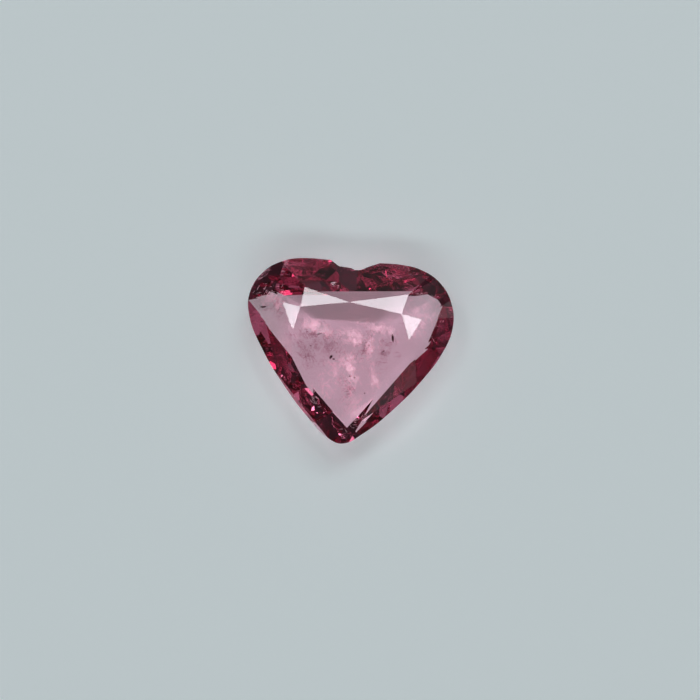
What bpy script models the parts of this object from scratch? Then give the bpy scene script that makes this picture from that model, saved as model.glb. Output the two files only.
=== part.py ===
"""A heart-cut pink sapphire, 6.6 mm wide, lying table up on its flat base facet.

The stone is made the way a cutter makes it. A heart-shaped preform is sawn to the depth of the stone, and each
facet is then ground on it as one flat cut, given by its compass direction and its tilt. The crown carries the
table, the stars, the mains and the girdle facets. The pavilion is step cut, in two tiers above a wide flat base.
Nicks in the cleft, small chips on the girdle and an open pit in the crown are cut last.

The stone's frame has +Y from the tip to the cleft, +Z out of the table, and its origin in the middle of the base.
Sizes below are in millimetres and angles in degrees, and MM turns them into Blender's metres.
"""

import math

import bmesh
import bpy
from mathutils import Matrix, Vector

MM = 0.001

# Driving dimensions
DEPTH = 1.88
GIRDLE_TOP = 1.38
GIRDLE_BOTTOM = 1.26
POINTS_BETWEEN_ANCHORS = 6

# Fineness. Corners nearer than this are one corner, in the preform and in the cut stone.
PREFORM_CORNER = 0.0004
STONE_CORNER = 0.004
# Faces that meet at less than this are one facet
SAME_FACET = 0.05
# A corner this near a cut lies on it
ON_CUT = 0.000001
SCOOP_SUBDIVISIONS = 2

# Girdle outline, clockwise from the right side of the cleft, as (x, y, ROUND or CORNER)
ROUND = "AUTO"
CORNER = "VECTOR"
OUTLINE = (
    (0.80, 2.92, CORNER),
    (1.44, 2.93, ROUND),
    (2.12, 2.82, ROUND),
    (2.78, 2.44, ROUND),
    (3.21, 1.76, ROUND),
    (3.29, 1.05, ROUND),
    (3.06, 0.29, ROUND),
    (2.47, -0.68, ROUND),
    (1.65, -1.68, ROUND),
    (0.72, -2.56, ROUND),
    (0.10, -2.93, ROUND),
    (-0.28, -2.84, ROUND),
    (-1.10, -2.15, ROUND),
    (-2.01, -1.12, ROUND),
    (-2.72, -0.12, ROUND),
    (-3.21, 0.87, ROUND),
    (-3.27, 1.58, ROUND),
    (-2.89, 2.32, ROUND),
    (-2.22, 2.75, ROUND),
    (-1.75, 2.86, ROUND),
    (-0.78, 2.89, CORNER),
    (-0.50, 2.71, CORNER),
    (-0.10, 2.68, CORNER),
    (0.02, 2.63, CORNER),
    (0.20, 2.65, ROUND),
    (0.42, 2.76, ROUND),
)

# Crown, clockwise from the cleft. Each table corner has a main facet that starts there, as (corner x, corner y,
# direction, tilt). Directions turn anticlockwise from +X, and a tilt is measured from level.
MAINS = (
    (-0.08, 1.59, 90.4, 24.8),
    (1.62, 1.36, 43.7, 17.7),
    (1.93, 0.55, 0.0, 19.9),
    (1.28, -0.62, -37.0, 24.4),
    (0.05, -1.66, -90.0, 21.8),
    (-1.10, -0.56, 210.0, 23.0),
    (-1.78, 0.51, 184.4, 19.3),
    (-1.61, 1.31, 119.0, 18.2),
)

# Between each main and the next there is a star facet along the table's edge, and two facets from the star's tip
# to the girdle, as (star tilt, direction, direction)
BETWEEN_MAINS = (
    (15.5, 82.0, 58.0),
    (12.4, 36.0, 14.0),
    (12.5, -14.0, -29.0),
    (14.0, -42.0, -52.0),
    (14.0, 232.0, 219.0),
    (12.5, 203.0, 194.0),
    (11.4, 168.0, 142.0),
    (15.5, 107.0, 99.0),
)

# Pavilion facets that start at the girdle, as (direction, tilt)
PAVILION_UPPER = (
    (94, 38.5),
    (66, 52.0),
    (38, 78.0),
    (5, 78.0),
    (-29, 78.0),
    (-46, 78.0),
    (-84, 76.0),
    (232, 78.0),
    (214, 78.0),
    (188, 80.0),
    (155, 78.0),
    (124, 47.0),
)

# Pavilion facets that rise from the base, as (direction, tilt, how far the base reaches that way from the middle)
PAVILION_LOWER = (
    (91, 17.0, 1.00),
    (45, 10.0, 1.25),
    (38, 49.0, 2.90),
    (-11, 46.0, 2.05),
    (-36, 44.0, 1.43),
    (226, 43.0, 1.40),
    (212, 43.0, 1.35),
    (185, 20.0, 1.50),
    (135, 8.0, 1.44),
)

# Scoops that chips and one open pit have left, as (x, y, z, length, width, height, direction of the length)
SCOOPS = (
    (-0.61, 2.13, 1.66, 0.28, 0.17, 0.16, 20.0),
    (-0.46, 2.06, 1.70, 0.14, 0.11, 0.12, 60.0),
    (-0.42, 2.83, 1.44, 0.34, 0.26, 0.30, 160.0),
    (0.03, 2.71, 1.46, 0.20, 0.18, 0.24, 90.0),
    (0.38, 2.86, 1.42, 0.26, 0.16, 0.14, 25.0),
    (2.05, 2.90, 1.39, 0.16, 0.12, 0.10, -15.0),
    (2.78, -0.38, 1.38, 0.22, 0.10, 0.10, 55.0),
    (2.16, -1.22, 1.37, 0.14, 0.10, 0.08, 50.0),
    (-0.02, -3.00, 1.33, 0.20, 0.18, 0.16, 0.0),
    (-1.57, -1.84, 1.38, 0.46, 0.14, 0.14, 131.0),
    (-1.30, -2.10, 1.29, 0.24, 0.12, 0.12, 135.0),
    (-3.33, 1.56, 1.38, 0.24, 0.12, 0.12, 85.0),
)


def clear_scene():
    for obj in list(bpy.data.objects):
        bpy.data.objects.remove(obj)


def new_collection(name):
    collection = bpy.data.collections.new(name)
    bpy.context.scene.collection.children.link(collection)
    return collection


def direction(compass):
    """The level unit vector that points this way round from +X."""
    return Vector((math.cos(math.radians(compass)), math.sin(math.radians(compass)), 0))


def preform(collection):
    """A slab with the heart's outline and the stone's full depth, as a mesh object."""
    curve = bpy.data.curves.new("preform", "CURVE")
    curve.dimensions = "2D"
    curve.fill_mode = "BOTH"
    curve.resolution_u = POINTS_BETWEEN_ANCHORS
    curve.extrude = DEPTH * MM / 2
    spline = curve.splines.new("BEZIER")
    spline.bezier_points.add(len(OUTLINE) - 1)
    spline.use_cyclic_u = True
    for point, (x, y, kind) in zip(spline.bezier_points, OUTLINE):
        point.co = Vector((x, y, 0)) * MM
        point.handle_left_type = kind
        point.handle_right_type = kind
    guide = bpy.data.objects.new("preform_outline", curve)
    guide.location.z = DEPTH * MM / 2
    collection.objects.link(guide)
    bpy.context.view_layer.update()
    evaluated = guide.evaluated_get(bpy.context.evaluated_depsgraph_get())
    mesh = bpy.data.meshes.new_from_object(evaluated)
    mesh.transform(guide.matrix_world)
    bpy.data.objects.remove(guide)
    slab = bpy.data.objects.new("sapphire", mesh)
    collection.objects.link(slab)
    return slab


def weld(bm, distance):
    bmesh.ops.remove_doubles(bm, verts=bm.verts, dist=distance * MM)


def merge_flat_faces(bm):
    bmesh.ops.dissolve_limit(bm, angle_limit=math.radians(SAME_FACET), verts=bm.verts, edges=bm.edges)


def grind(bm, normal, distance):
    """Takes off all that lies beyond a plane and closes the stone with one flat facet."""
    cut = bmesh.ops.bisect_plane(
        bm,
        geom=list(bm.verts) + list(bm.edges) + list(bm.faces),
        dist=ON_CUT * MM,
        plane_co=normal * distance,
        plane_no=normal,
        clear_outer=True,
    )
    rim = [item for item in cut["geom_cut"] if isinstance(item, bmesh.types.BMEdge)]
    open_rim = [edge for edge in rim if len(edge.link_faces) == 1]
    bmesh.ops.edgenet_fill(bm, edges=open_rim)


def facet_normal(compass, tilt, side):
    """The outward normal of a facet that faces this way, tilted from level, on the crown (1) or pavilion (-1)."""
    lean = math.radians(tilt)
    return direction(compass) * math.sin(lean) + Vector((0, 0, side * math.cos(lean)))


def plane(normal, point):
    """The plane through a point, as its normal and its distance from the origin."""
    return normal, normal.dot(point)


def meet_point(planes):
    """The one point that three planes share."""
    normals = Matrix([normal for normal, _ in planes])
    return normals.inverted() @ Vector([distance for _, distance in planes])


def touch_point(rim_points, compass):
    """The point of the outline that lies furthest in a direction."""
    toward = direction(compass)
    return max(rim_points, key=lambda point: point.dot(toward))


def grind_upper_tier(bm, rim_points):
    for compass, tilt in PAVILION_UPPER:
        foot = touch_point(rim_points, compass) + Vector((0, 0, GIRDLE_BOTTOM * MM))
        grind(bm, *plane(facet_normal(compass, tilt, -1), foot))


def star_plane(corner, next_corner, tilt):
    along = (next_corner - corner).normalized()
    outward = Vector((-along.y, along.x, 0))
    lean = math.radians(tilt)
    return plane(outward * math.sin(lean) + Vector((0, 0, math.cos(lean))), corner)


def girdle_plane(rim_points, compass, tip):
    """The facet that faces this way and runs from a star's tip down to the girdle."""
    foot = touch_point(rim_points, compass) + Vector((0, 0, GIRDLE_TOP * MM))
    run = (foot - tip).dot(direction(compass))
    tilt = math.degrees(math.atan2(tip.z - foot.z, run))
    return plane(facet_normal(compass, tilt, 1), foot)


def grind_crown(bm, rim_points):
    corners = [Vector((x, y, DEPTH)) * MM for x, y, _, _ in MAINS]
    mains = [
        plane(facet_normal(compass, tilt, 1), corner)
        for corner, (_, _, compass, tilt) in zip(corners, MAINS)
    ]
    for index, (star_tilt, *compasses) in enumerate(BETWEEN_MAINS):
        following = (index + 1) % len(MAINS)
        star = star_plane(corners[index], corners[following], star_tilt)
        tip = meet_point((star, mains[index], mains[following]))
        grind(bm, *star)
        for compass in compasses:
            grind(bm, *girdle_plane(rim_points, compass, tip))
    for main_facet in mains:
        grind(bm, *main_facet)


def grind_lower_tier(bm):
    for compass, tilt, reach in PAVILION_LOWER:
        grind(bm, *plane(facet_normal(compass, tilt, -1), direction(compass) * reach * MM))


def cut_facets(slab):
    bm = bmesh.new()
    bm.from_mesh(slab.data)
    weld(bm, PREFORM_CORNER)
    bmesh.ops.recalc_face_normals(bm, faces=bm.faces)
    rim_points = [Vector((v.co.x, v.co.y, 0)) for v in bm.verts if v.co.z > DEPTH * MM / 2]
    grind_upper_tier(bm, rim_points)
    grind_lower_tier(bm)
    grind_crown(bm, rim_points)
    weld(bm, STONE_CORNER)
    merge_flat_faces(bm)
    bmesh.ops.recalc_face_normals(bm, faces=bm.faces)
    for face in bm.faces:
        face.smooth = False
    bm.to_mesh(slab.data)
    bm.free()


def scoop(collection, number, place, size, turn):
    """A ball, one unit across and stretched to a size, that takes a round-bottomed hollow out of the stone."""
    mesh = bpy.data.meshes.new(f"scoop_{number}")
    bm = bmesh.new()
    bmesh.ops.create_icosphere(bm, subdivisions=SCOOP_SUBDIVISIONS, radius=0.5)
    bmesh.ops.scale(bm, vec=Vector(size) * MM, verts=bm.verts)
    bm.to_mesh(mesh)
    bm.free()
    cutter = bpy.data.objects.new(f"scoop_{number}", mesh)
    cutter.location = Vector(place) * MM
    cutter.rotation_euler.z = math.radians(turn)
    cutter.hide_render = True
    cutter.display_type = "WIRE"
    collection.objects.link(cutter)
    return cutter


def chip(stone, collection):
    for number, (x, y, z, length, width, height, turn) in enumerate(SCOOPS):
        cut = stone.modifiers.new(f"chip_{number}", "BOOLEAN")
        cut.operation = "DIFFERENCE"
        cut.solver = "EXACT"
        cut.object = scoop(collection, number, (x, y, z), (length, width, height), turn)


def sapphire_material():
    material = bpy.data.materials.new("pink_sapphire")
    material.use_nodes = True
    shader = material.node_tree.nodes["Principled BSDF"]
    shader.inputs["Base Color"].default_value = (0.86, 0.42, 0.52, 1)
    shader.inputs["Roughness"].default_value = 0.02
    shader.inputs["Metallic"].default_value = 0
    shader.inputs["IOR"].default_value = 1.77
    shader.inputs["Transmission Weight"].default_value = 1
    return material


def main():
    clear_scene()
    stone = preform(new_collection("sapphire_gemstone"))
    cut_facets(stone)
    cutters = new_collection("cutters")
    cutters.hide_render = True
    chip(stone, cutters)
    stone.data.materials.clear()
    stone.data.materials.append(sapphire_material())


main()
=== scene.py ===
"""The looks of a loose, heart-cut pink sapphire that lies table up on a pale surface.

The stone is one clear crystal: its colour comes from absorption along each path of light. So the rim, where
light zigzags between the facets, is deep plum, and the thin middle is pale. Inside are silk and dark grains.
Distances below are in millimetres in the stone's own frame, and MM turns them into metres. Angles are in
degrees. The noise in a material is given as (scale in waves per metre, detail, roughness).
"""

import math
import random

import bmesh
import bpy
from mathutils import Matrix, Vector, noise
from mathutils.bvhtree import BVHTree


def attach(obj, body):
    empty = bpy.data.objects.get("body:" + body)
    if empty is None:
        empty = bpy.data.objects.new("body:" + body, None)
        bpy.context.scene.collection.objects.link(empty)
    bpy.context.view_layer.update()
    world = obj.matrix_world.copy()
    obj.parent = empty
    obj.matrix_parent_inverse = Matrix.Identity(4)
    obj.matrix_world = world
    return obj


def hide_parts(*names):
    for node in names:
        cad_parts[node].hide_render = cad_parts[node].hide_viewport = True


MM = 0.001

# Corundum: how it bends light, and the light it takes up on the way
IOR = 1.765
ABSORPTION_COLOUR = (0.70, 0.00, 0.26, 1)
ABSORPTION_DENSITY = 300.0

# The stone's surface: corners within WELD are one, faces within SAME_FACET are one facet, and an edge from
# WORN_FROM on is rounded. UPRIGHT is how far the normal of a girdle face may lean from level.
WELD = 0.002
SAME_FACET = 0.2
WORN_EDGE = 0.007
WORN_FROM = 3.0
WORN_STEPS = 2
GIRDLE_LEVEL = (1.20, 1.44)
UPRIGHT = 0.02
# The facet under the top of the rim has a coarse polish: its direction and tilt, and the cosine to match it
COARSE_FACET = (91.0, 17.0)
SAME_DIRECTION = 0.9995

# Finishes, as (least roughness, most roughness, strength of the relief)
POLISHED = (0.0, 0.02, 0.01)
FROSTED = (0.25, 0.45, 0.3)
COARSE = (0.14, 0.24, 0.1)
WEAR_NOISE = (1400, 5, 0.6)
WEAR_RANGE = (0.45, 0.75)
RELIEF_NOISE = (9000, 3, 0.6)
RELIEF_HEIGHT = 0.01

# Camera: straight above, with the width of the picture measured at the height of the girdle
VIEW_CENTRE = (0.085, 0.072)
VIEW_HEIGHT = 140.0
VIEW_WIDTH = 22.389
VIEW_ROLL = 5.0
GIRDLE_HEIGHT = 1.1
SENSOR = 36.0

# Lights: level panels above the stone, as (x from, x to, y from, y to, radiance), where the extents are for
# each unit of height. The first four show in the star facets, and the others light the rim and the window.
PANEL_HEIGHT = 300.0
PANEL_COLOUR = (0.93, 0.97, 1.0)
PANELS = (
    (0.04, 0.12, 0.555, 0.635, 6.5),
    (-0.15, -0.07, 0.55, 0.63, 6.5),
    (0.39, 0.47, 0.125, 0.205, 6.5),
    (-0.45, -0.37, 0.05, 0.13, 6.5),
    (-0.08, 0.24, 0.40, 0.56, 6.0),
    (-0.08, 0.56, 0.72, 0.88, 6.0),
    (-0.56, -0.24, 0.24, 0.40, 6.0),
    (-0.72, 0.72, -0.88, -0.56, 2.4),
    (-0.56, -0.40, -0.24, -0.08, 0.5),
    (0.56, 0.72, -0.24, -0.08, 0.9),
    (0.72, 0.88, 0.08, 0.24, 0.4),
    (0.84, 1.00, -0.76, -0.60, 0.25),
    (-0.88, -0.72, 0.88, 1.04, 0.4),
    (-0.88, -0.72, -0.24, -0.12, 1.2),
    (-0.09, 0.07, 1.10, 1.25, 0.13),
    (0.44, 0.59, 0.42, 0.57, 0.12),
)

# The room, as (height on the sky from the horizon at 0 to overhead at 1, brightness)
ROOM_COLOUR = (0.95, 0.98, 1.0)
ROOM = (
    (0.00, 0.45),
    (0.02, 0.40),
    (0.05, 0.06),
    (0.55, 0.06),
    (0.97, 0.04),
)

FLOOR_WIDTH = 6000.0
FLOOR_GAP = 0.02
FLOOR_COLOUR = (0.80, 0.88, 0.89, 1)
FLOOR_ROUGHNESS = 0.9
FLOOR_SHINE = 0.2
FLOOR_GLOW = 0.23
# Painted light: the floor glows more under the stone, for the light that it gathers there. The pool fades
# between these distances from the middle
PAINTED_POOL_REACH = (2.4, 3.6)
PAINTED_POOL_GLOW = 0.32

# Silk: fine needles in three directions, give or take a few degrees, some pale and some mauve. The lit floor
# is behind them, so the pale ones get a painted glow, or else they would look darker than it.
SEED = 7
NEEDLE_LENGTH = (0.05, 0.24)
NEEDLE_THICKNESS = (0.006, 0.011)
NEEDLE_TURNS = (8.0, 68.0, 128.0)
NEEDLE_STRAY = 3
NEEDLE_RISE = 0.05
SILK_MARGIN = 0.05
SILK_NOISE = (2500, 3, 0.5)
SILK_ROUGHNESS = 0.5
SILK_PAINTED_GLOW = 0.58
PALE_COLOURS = ((0.82, 0.54, 0.64, 1), (0.96, 0.76, 0.84, 1))
MAUVE_COLOURS = ((0.36, 0.14, 0.23, 1), (0.66, 0.37, 0.49, 1))

# The silk lies in veils, and in each of them only where a cloud of noise is thick enough. The needles spread
# round a veil's middle by a share of its length and width, and by a fixed depth.
CLOUD_SIZE = 0.26
CLOUD_EDGE = (-0.10, 0.22)
CLOUD_FADE = 0.8
VEIL_SHARE = 0.25
VEIL_DEPTH = 0.12

# Veils, as (x, y, height, length, width, direction of the length, needles)
PALE_VEILS = (
    (-1.00, 0.68, 1.62, 1.00, 0.40, -20.0, 420),
    (0.12, 0.48, 1.62, 1.00, 0.50, -8.0, 360),
    (0.95, 0.86, 1.62, 1.40, 0.30, -10.0, 260),
    (0.78, 0.30, 1.62, 1.00, 0.40, 80.0, 230),
    (0.20, -0.50, 1.60, 1.30, 0.50, 95.0, 420),
    (0.95, -0.70, 1.50, 0.90, 0.30, 100.0, 150),
    (-0.35, -0.75, 1.50, 1.60, 0.80, 60.0, 300),
    (0.30, -1.55, 1.30, 1.40, 0.60, 95.0, 260),
    (2.20, 1.30, 1.20, 1.50, 0.90, 70.0, 380),
    (-2.45, 1.45, 1.15, 1.00, 0.60, 150.0, 200),
)
MAUVE_VEILS = (
    (-0.75, 0.20, 1.50, 1.40, 1.00, -30.0, 380),
    (-1.10, 0.48, 1.55, 1.20, 0.20, 5.0, 160),
    (0.45, 0.10, 1.50, 1.20, 0.50, 60.0, 220),
    (0.10, -1.10, 1.40, 0.90, 0.50, 100.0, 160),
    (1.20, 0.20, 1.50, 1.20, 0.70, 70.0, 200),
    (-1.30, -0.10, 1.35, 1.30, 0.40, 120.0, 160),
    (-2.30, 1.20, 0.95, 1.00, 0.60, 150.0, 160),
)

# Dark grains inside the stone, as (x, y, height, length, width, direction of the length)
SPECKS = (
    (1.41, 0.57, 1.30, 0.25, 0.075, 100.0),
    (-0.50, -0.20, 1.30, 0.13, 0.08, 60.0),
    (-0.41, -0.26, 1.22, 0.08, 0.05, 10.0),
    (0.17, -0.76, 1.25, 0.09, 0.04, 10.0),
    (0.30, -0.79, 1.20, 0.07, 0.04, 150.0),
    (-0.93, 0.50, 1.35, 0.16, 0.03, 20.0),
    (-2.73, 1.21, 1.15, 0.20, 0.05, 10.0),
    (1.05, -1.74, 1.25, 0.16, 0.03, 80.0),
    (1.15, 0.12, 1.20, 0.10, 0.03, 40.0),
    (0.62, -1.20, 1.10, 0.05, 0.03, 120.0),
    (-1.18, 0.10, 1.15, 0.05, 0.03, 0.0),
)
# How uneven the grains are, how fine their lumps are, and how far apart in the noise two grains lie
SPECK_UNEVEN = 0.35
SPECK_LUMPS = 2.2
SPECK_OFFSET = 5
SPECK_FADE = 0.9
SPECK_NOISE = (12000, 3, 0.5)
SPECK_ROUGHNESS = 0.45
SPECK_COLOURS = ((0.012, 0.008, 0.010, 1), (0.09, 0.035, 0.045, 1))

# The shapes of the clouds and the grains: how much finer each octave of noise is, and how many there are
FINER = 2.0
OCTAVES = 3

# The most bounces that a path of light makes
BOUNCES = 32


def put(node, name, value):
    """Sets a plain value on a node's own socket."""
    node.inputs[name].default_value = value


def new_material(name):
    """A material with its node tree, Principled shader and output."""
    material = bpy.data.materials.new(name)
    material.use_nodes = True
    tree = material.node_tree
    return material, tree, tree.nodes["Principled BSDF"], tree.nodes["Material Output"]


def noise_node(tree, scale, detail, roughness):
    """Noise that sits still in the piece."""
    place = tree.nodes.new("ShaderNodeTexCoord")
    texture = tree.nodes.new("ShaderNodeTexNoise")
    put(texture, "Scale", scale)
    put(texture, "Detail", detail)
    put(texture, "Roughness", roughness)
    tree.links.new(place.outputs["Object"], texture.inputs["Vector"])
    return texture


def map_range(tree, source, low_in, high_in, low_out, high_out):
    """A node that stretches one range of values to another."""
    stretch = tree.nodes.new("ShaderNodeMapRange")
    put(stretch, "From Min", low_in)
    put(stretch, "From Max", high_in)
    put(stretch, "To Min", low_out)
    put(stretch, "To Max", high_out)
    tree.links.new(source, stretch.inputs["Value"])
    return stretch.outputs["Result"]


def colour_by_noise(tree, shader, settings, colours):
    """Varies the base colour between two colours, and gives the node that does it."""
    shade = noise_node(tree, *settings)
    ramp = tree.nodes.new("ShaderNodeValToRGB")
    for stop, colour in zip(ramp.color_ramp.elements, colours):
        stop.color = colour
    tree.links.new(shade.outputs["Fac"], ramp.inputs["Fac"])
    tree.links.new(ramp.outputs["Color"], shader.inputs["Base Color"])
    return ramp


def corundum(name, roughness_low, roughness_high, relief_strength):
    """Clear pink corundum with a polish that is a little uneven."""
    material, tree, shader, output = new_material(name)
    put(shader, "Base Color", (1, 1, 1, 1))
    put(shader, "IOR", IOR)
    put(shader, "Transmission Weight", 1.0)
    wear = noise_node(tree, *WEAR_NOISE)
    rough = map_range(tree, wear.outputs["Fac"], *WEAR_RANGE, roughness_low, roughness_high)
    tree.links.new(rough, shader.inputs["Roughness"])
    grain = noise_node(tree, *RELIEF_NOISE)
    relief = tree.nodes.new("ShaderNodeBump")
    put(relief, "Strength", relief_strength)
    put(relief, "Distance", RELIEF_HEIGHT * MM)
    tree.links.new(grain.outputs["Fac"], relief.inputs["Height"])
    tree.links.new(relief.outputs["Normal"], shader.inputs["Normal"])
    absorption = tree.nodes.new("ShaderNodeVolumeAbsorption")
    put(absorption, "Color", ABSORPTION_COLOUR)
    put(absorption, "Density", ABSORPTION_DENSITY)
    tree.links.new(absorption.outputs["Volume"], output.inputs["Volume"])
    return material


def polished():
    return corundum("sapphire_polished", *POLISHED)


def frosted():
    return corundum("sapphire_girdle", *FROSTED)


def coarse():
    return corundum("sapphire_coarse", *COARSE)


def silk_material(name, colours, glow):
    """Needles of rutile, unevenly coloured, that glow in their own colour as painted light where glow is
    given.
    """
    material, tree, shader, _ = new_material(name)
    ramp = colour_by_noise(tree, shader, SILK_NOISE, colours)
    put(shader, "Roughness", SILK_ROUGHNESS)
    # Painted light: the needles glow in their own colour, though they are no lamp
    tree.links.new(ramp.outputs["Color"], shader.inputs["Emission Color"])
    put(shader, "Emission Strength", glow)
    return material


def pale_silk():
    return silk_material("sapphire_silk_pale", PALE_COLOURS, SILK_PAINTED_GLOW)


def mauve_silk():
    return silk_material("sapphire_silk_mauve", MAUVE_COLOURS, 0.0)


def speck_material():
    """Dark mineral grains, nearly black with a brown tinge in places."""
    material, tree, shader, _ = new_material("sapphire_specks")
    colour_by_noise(tree, shader, SPECK_NOISE, SPECK_COLOURS)
    put(shader, "Roughness", SPECK_ROUGHNESS)
    return material


def floor_material():
    """A pale floor that glows softly, with a painted pool of light under the stone."""
    material, tree, shader, _ = new_material("pale_floor")
    put(shader, "Base Color", FLOOR_COLOUR)
    put(shader, "Roughness", FLOOR_ROUGHNESS)
    put(shader, "Specular IOR Level", FLOOR_SHINE)
    put(shader, "Emission Color", FLOOR_COLOUR)
    place = tree.nodes.new("ShaderNodeTexCoord")
    length = tree.nodes.new("ShaderNodeVectorMath")
    length.operation = "LENGTH"
    tree.links.new(place.outputs["Object"], length.inputs[0])
    near, far = (distance * MM for distance in PAINTED_POOL_REACH)
    # The glow is stronger under the stone: a painted pool of light
    glow = map_range(tree, length.outputs["Value"], near, far, PAINTED_POOL_GLOW, FLOOR_GLOW)
    tree.links.new(glow, shader.inputs["Emission Strength"])
    return material


def new_piece(name, mesh, materials):
    piece = bpy.data.objects.new(name, mesh)
    for material in materials:
        mesh.materials.append(material)
    bpy.context.scene.collection.objects.link(piece)
    return piece


def crystal_mesh(node):
    """The CAD stone with each facet as one whole face."""
    bm = bmesh.new()
    bm.from_mesh(node.data)
    bmesh.ops.remove_doubles(bm, verts=bm.verts, dist=WELD * MM)
    bmesh.ops.dissolve_limit(bm, angle_limit=math.radians(SAME_FACET), verts=bm.verts, edges=bm.edges)
    mesh = bpy.data.meshes.new("sapphire_crystal")
    bm.to_mesh(mesh)
    bm.free()
    return mesh


def wear_edges(piece):
    """Rounds every edge between two facets very slightly."""
    bevel = piece.modifiers.new("worn_edges", "BEVEL")
    bevel.width = WORN_EDGE * MM
    bevel.segments = WORN_STEPS
    bevel.limit_method = "ANGLE"
    bevel.angle_limit = math.radians(WORN_FROM)
    bevel.use_clamp_overlap = True
    bevel.harden_normals = False
    evaluated = piece.evaluated_get(bpy.context.evaluated_depsgraph_get())
    worn = bpy.data.meshes.new_from_object(evaluated)
    piece.modifiers.clear()
    piece.data = worn


def facet_normal(compass, tilt):
    """The outward normal of a facet of the underside that faces this way, tilted from level."""
    turn, lean = math.radians(compass), math.radians(tilt)
    return Vector((math.cos(turn) * math.sin(lean), math.sin(turn) * math.sin(lean), -math.cos(lean)))


def mark_finishes(mesh):
    """Shades each face flat and numbers its finish: 0 polished, 1 frosted for the girdle, 2 coarse."""
    low, high = GIRDLE_LEVEL
    coarse_normal = facet_normal(*COARSE_FACET)
    for face in mesh.polygons:
        upright = abs(face.normal.z) < UPRIGHT
        in_band = low * MM < face.center.z < high * MM
        is_coarse = face.normal.dot(coarse_normal) > SAME_DIRECTION
        face.material_index = 1 if upright and in_band else 2 if is_coarse else 0
        face.use_smooth = False


def add_crystal(frame):
    node = frame["nodes"]["sapphire"]
    piece = new_piece("sapphire_crystal", crystal_mesh(node), [polished(), frosted(), coarse()])
    wear_edges(piece)
    mark_finishes(piece.data)
    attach(piece, "root")
    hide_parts("sapphire")
    return piece


def inside(stone_tree, point, margin):
    """Whether a point is in the stone and deeper under its surface than the margin."""
    nearest, normal, _, distance = stone_tree.find_nearest(point)
    return distance > margin and (nearest - point).dot(normal) > 0


def veil_point(draw, veil):
    """A random point of a veil, likeliest in its middle, or None if the stone is clear there."""
    x, y, height, length, width, turn, _ = veil
    along = draw.gauss(0, length * VEIL_SHARE)
    across = draw.gauss(0, width * VEIL_SHARE)
    spread = Vector((along, across, draw.gauss(0, VEIL_DEPTH)))
    point = Matrix.Rotation(math.radians(turn), 3, "Z") @ spread + Vector((x, y, height))
    cloud = noise.fractal(point / CLOUD_SIZE, CLOUD_FADE, FINER, OCTAVES)
    low, high = CLOUD_EDGE
    if draw.random() * (high - low) + low > cloud:
        return None
    return point


def spindle(point, along, thickness):
    """Corners and triangles of one needle: pointed at both ends and three-sided in the middle."""
    side = along.cross(Vector((0, 0, 1))).normalized() * thickness / 2
    turns = (0, 2 * math.pi / 3, 4 * math.pi / 3)
    middle = [point + Matrix.Rotation(turn, 3, along) @ side for turn in turns]
    corners = [point - along / 2, *middle, point + along / 2]
    faces = []
    for first in range(3):
        second = (first + 1) % 3
        faces.append((0, 1 + second, 1 + first))
        faces.append((4, 1 + first, 1 + second))
    return corners, faces


def silk_needle(draw, veil, stone_tree):
    """Corners and triangles of one needle of a veil, or None where the stone is clear or has no room."""
    point = veil_point(draw, veil)
    if point is None or not inside(stone_tree, point * MM, SILK_MARGIN * MM):
        return None
    turn = math.radians(draw.choice(NEEDLE_TURNS) + draw.gauss(0, NEEDLE_STRAY))
    heading = Vector((math.cos(turn), math.sin(turn), draw.gauss(0, NEEDLE_RISE)))
    along = heading * draw.uniform(*NEEDLE_LENGTH)
    for end in (point - along / 2, point + along / 2):
        if not inside(stone_tree, end * MM, SILK_MARGIN * MM / 2):
            return None
    return spindle(point, along, draw.uniform(*NEEDLE_THICKNESS))


def silk_mesh(veils, stone_tree):
    """All the needles of some veils, in one mesh."""
    draw = random.Random(SEED)
    corners = []
    faces = []
    for veil in veils:
        wanted = veil[-1]
        while wanted > 0:
            needle = silk_needle(draw, veil, stone_tree)
            if needle is None:
                continue
            start = len(corners)
            corners += [corner * MM for corner in needle[0]]
            faces += [tuple(start + corner for corner in face) for face in needle[1]]
            wanted -= 1
    mesh = bpy.data.meshes.new("silk")
    mesh.from_pydata(corners, [], faces)
    return mesh


def add_silk(stone_tree):
    kinds = (
        ("sapphire_silk_pale", PALE_VEILS, pale_silk()),
        ("sapphire_silk_mauve", MAUVE_VEILS, mauve_silk()),
    )
    for name, veils, material in kinds:
        piece = new_piece(name, silk_mesh(veils, stone_tree), [material])
        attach(piece, "root")


def speck_mesh():
    """Small uneven grains, all in one mesh."""
    bm = bmesh.new()
    for x, y, height, length, width, turn in SPECKS:
        grain = bmesh.ops.create_icosphere(bm, subdivisions=3, radius=0.5)["verts"]
        place = Vector((x, y, height))
        for corner in grain:
            spot = corner.co * SPECK_LUMPS + place * SPECK_OFFSET
            corner.co *= 1 + SPECK_UNEVEN * noise.fractal(spot, SPECK_FADE, FINER, OCTAVES)
        bmesh.ops.scale(bm, vec=Vector((length, width, width)), verts=grain)
        bmesh.ops.rotate(bm, matrix=Matrix.Rotation(math.radians(turn), 3, "Z"), verts=grain)
        bmesh.ops.translate(bm, vec=place, verts=grain)
    bmesh.ops.scale(bm, vec=Vector((MM, MM, MM)), verts=bm.verts)
    mesh = bpy.data.meshes.new("specks")
    bm.to_mesh(mesh)
    bm.free()
    return mesh


def add_specks():
    piece = new_piece("sapphire_specks", speck_mesh(), [speck_material()])
    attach(piece, "root")


def add_camera():
    data = bpy.data.cameras.new("camera")
    camera = bpy.data.objects.new("camera", data)
    bpy.context.scene.collection.objects.link(camera)
    x, y = VIEW_CENTRE
    camera.location = Vector((x, y, VIEW_HEIGHT)) * MM
    camera.rotation_euler.z = math.radians(VIEW_ROLL)
    data.sensor_width = SENSOR
    data.lens = SENSOR * (VIEW_HEIGHT - GIRDLE_HEIGHT) / VIEW_WIDTH
    data.clip_start = MM
    bpy.context.scene.camera = camera


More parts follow.
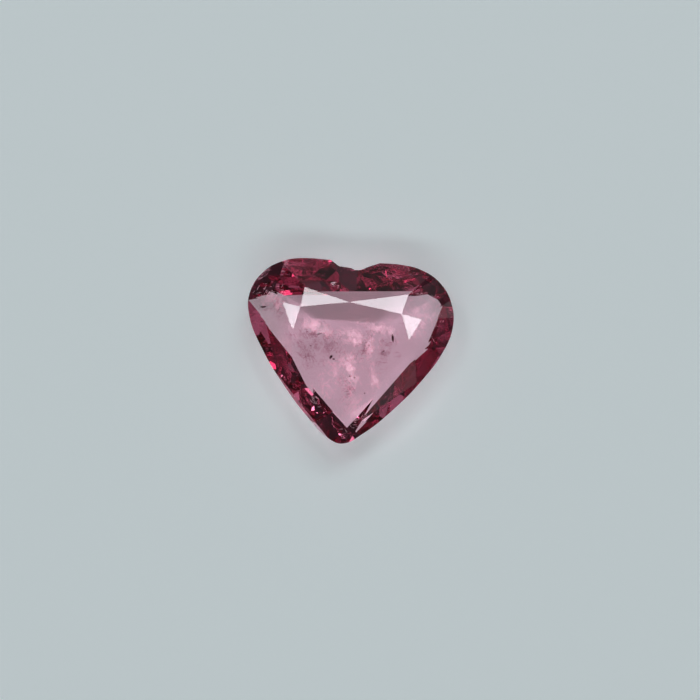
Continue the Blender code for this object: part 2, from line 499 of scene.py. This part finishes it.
def add_panel(x_from, x_to, y_from, y_to, radiance):
    """A level panel light, with the power that gives it this radiance."""
    data = bpy.data.lights.new("panel", "AREA")
    data.shape = "RECTANGLE"
    data.size = (x_to - x_from) * PANEL_HEIGHT * MM
    data.size_y = (y_to - y_from) * PANEL_HEIGHT * MM
    data.energy = radiance * data.size * data.size_y * math.pi
    data.color = PANEL_COLOUR
    panel = bpy.data.objects.new("panel", data)
    centre = Vector(((x_from + x_to) / 2, (y_from + y_to) / 2, 1))
    panel.location = centre * PANEL_HEIGHT * MM
    bpy.context.scene.collection.objects.link(panel)


def add_room():
    """The light of the room: a pale backdrop at the horizon, and dim above it."""
    world = bpy.data.worlds.new("room")
    bpy.context.scene.world = world
    world.use_nodes = True
    tree = world.node_tree
    place = tree.nodes.new("ShaderNodeTexCoord")
    split = tree.nodes.new("ShaderNodeSeparateXYZ")
    ramp = tree.nodes.new("ShaderNodeValToRGB")
    stops = ramp.color_ramp.elements
    # A new ramp has two stops already
    for number, (height, brightness) in enumerate(ROOM):
        stop = stops[number] if number < 2 else stops.new(height)
        stop.position = height
        stop.color = (*(channel * brightness for channel in ROOM_COLOUR), 1)
    tree.links.new(place.outputs["Generated"], split.inputs["Vector"])
    tree.links.new(split.outputs["Z"], ramp.inputs["Fac"])
    tree.links.new(ramp.outputs["Color"], tree.nodes["Background"].inputs["Color"])


def add_floor():
    mesh = bpy.data.meshes.new("floor")
    bm = bmesh.new()
    bmesh.ops.create_grid(bm, x_segments=1, y_segments=1, size=FLOOR_WIDTH / 2 * MM)
    bm.to_mesh(mesh)
    bm.free()
    floor = new_piece("floor", mesh, [floor_material()])
    floor.location.z = -FLOOR_GAP * MM


def render_quality():
    """Sharp refraction, and enough bounces for light that zigzags between the facets."""
    scene = bpy.context.scene
    scene.cycles.blur_glossy = 0.0
    scene.cycles.max_bounces = BOUNCES
    scene.cycles.transmission_bounces = BOUNCES
    scene.cycles.glossy_bounces = BOUNCES
    scene.view_settings.view_transform = "Standard"


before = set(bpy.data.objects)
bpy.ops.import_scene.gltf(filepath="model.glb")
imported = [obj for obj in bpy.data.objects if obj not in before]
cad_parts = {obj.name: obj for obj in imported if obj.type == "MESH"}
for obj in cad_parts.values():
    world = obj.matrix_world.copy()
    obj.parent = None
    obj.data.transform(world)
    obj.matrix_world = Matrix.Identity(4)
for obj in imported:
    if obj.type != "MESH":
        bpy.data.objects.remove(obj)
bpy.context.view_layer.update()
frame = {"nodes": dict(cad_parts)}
add_camera()
add_room()
for extent in PANELS:
    add_panel(*extent)
add_floor()
render_quality()
crystal = add_crystal(frame)
bpy.context.view_layer.update()
stone_tree = BVHTree.FromObject(crystal, bpy.context.evaluated_depsgraph_get())
add_silk(stone_tree)
add_specks()
